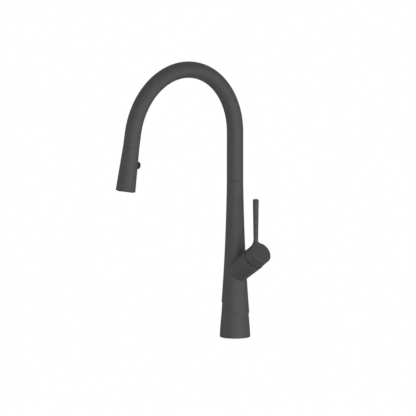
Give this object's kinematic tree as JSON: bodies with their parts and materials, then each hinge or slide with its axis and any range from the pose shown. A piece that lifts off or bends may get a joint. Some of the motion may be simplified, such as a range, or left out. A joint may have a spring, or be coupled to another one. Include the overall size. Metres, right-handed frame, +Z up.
{
  "type": "kitchen faucet",
  "caption": "High-arc pull-down kitchen faucet with a flared riser, a slanted valve boss with a side lever, and a spray head with a rear mode button.",
  "frame": {"origin": "centre of the base's underside, on the deck, on the axis of the mounting shank", "axes": "+Z up along the riser; the spout reaches towards -Y; the valve boss and its lever are on the +X side"},
  "size_m": [0.0965, 0.273, 0.5661],
  "materials": {
    "painted_grey": "fine matte graphite powder coat",
    "brass": "machined brass",
    "copper": "drawn copper tube",
    "steel": "zinc plated or stainless steel",
    "magnet": "nickel plated magnet",
    "black_plastic": "moulded acetal, black",
    "button_black": "satin black moulded plastic",
    "white_plastic": "moulded acetal, natural white",
    "rubber": "black rubber",
    "nozzle_rubber": "dark grey silicone",
    "ceramic": "lapped alumina ceramic",
    "braid": "dark nylon braid over a rubber hose"
  },
  "bodies": {
    "base": {"base_ring": "painted_grey", "body_shell": "painted_grey", "threaded_shank": "brass", "deck_gasket": "rubber", "clamp_gasket": "rubber", "clamp_washer": "steel", "mounting_nut": "brass", "jack_screws": "steel", "hot_tail_tube": "copper", "cold_tail_tube": "copper", "outlet_tube": "copper", "tail_fittings": "brass", "outlet_socket": "brass", "swivel_washer": "black_plastic", "cartridge_base": "white_plastic", "port_seals": "rubber", "cartridge_housing": "white_plastic", "fixed_disc": "ceramic", "cartridge_nut": "brass", "bonnet": "painted_grey"},
    "spout": {"spout_tube": "painted_grey", "swivel_sleeve": "brass", "swivel_rings": "rubber", "snap_ring": "steel", "pulldown_hose": "braid", "hose_plug": "brass", "dock_insert": "black_plastic", "dock_magnet": "magnet"},
    "hose_end": {"hose_drop": "braid", "hose_ferrule": "steel", "hose_connector": "brass"},
    "spray_head": {"spray_shell": "painted_grey", "head_collar": "black_plastic", "dock_ring": "steel", "swivel_nut": "brass", "inlet_seal": "rubber", "head_waterway": "white_plastic", "nozzle_membrane": "nozzle_rubber", "face_plate": "black_plastic", "face_ring": "black_plastic", "aerator": "black_plastic", "retainer_ring": "black_plastic"},
    "mode_button": {"mode_button": "button_black", "diverter_plunger": "brass", "button_spring": "steel"},
    "turret": {"valve_turret": "white_plastic"},
    "disc": {"moving_disc": "ceramic", "disc_carrier": "white_plastic"},
    "handle": {"lever_handle": "painted_grey", "cartridge_stem": "brass", "stem_pin": "steel", "handle_screw": "steel", "screw_plug": "painted_grey"}
  },
  "joints": [
    {"name": "spout_swivel", "type": "hinge", "parent": "base", "child": "spout", "pos_m": [0, 0, 0.249], "axis": [0, 0, 1], "continuous": true},
    {"name": "head_pull", "type": "slide", "parent": "spout", "child": "hose_end", "axis": [0, -0.1736, -0.9848], "range_m": [0, 0.24], "stiffness_N_per_m": 5, "springref_m": -1.2, "deforming": ["hose_drop"]},
    {"name": "head_swivel", "type": "hinge", "parent": "hose_end", "child": "spray_head", "pos_m": [0, -0.22054, 0.3233], "axis": [0, -0.1736, -0.9848], "continuous": true},
    {"name": "button_press", "type": "slide", "parent": "spray_head", "child": "mode_button", "axis": [0, -0.9848, 0.1736], "range_m": [0, 0.0025], "stiffness_N_per_m": 500, "springref_m": -0.0015, "deforming": ["button_spring"]},
    {"name": "handle_turn", "type": "hinge", "parent": "base", "child": "turret", "pos_m": [0.0451, 0, 0.1293], "axis": [0.8499, 0, 0.527], "range_deg": [-45, 45]},
    {"name": "handle_lift", "type": "hinge", "parent": "turret", "child": "handle", "pos_m": [0.0451, 0, 0.1293], "axis": [0, 1, 0], "range_deg": [0, 15]},
    {"name": "disc_slide", "type": "slide", "parent": "turret", "child": "disc", "axis": [-0.527, 0, 0.8499], "range_m": [0, 0.004]}
  ],
  "couplings": [
    {"joint": "disc_slide", "follows": "handle_lift", "m_per_rad": 0.015}
  ]
}
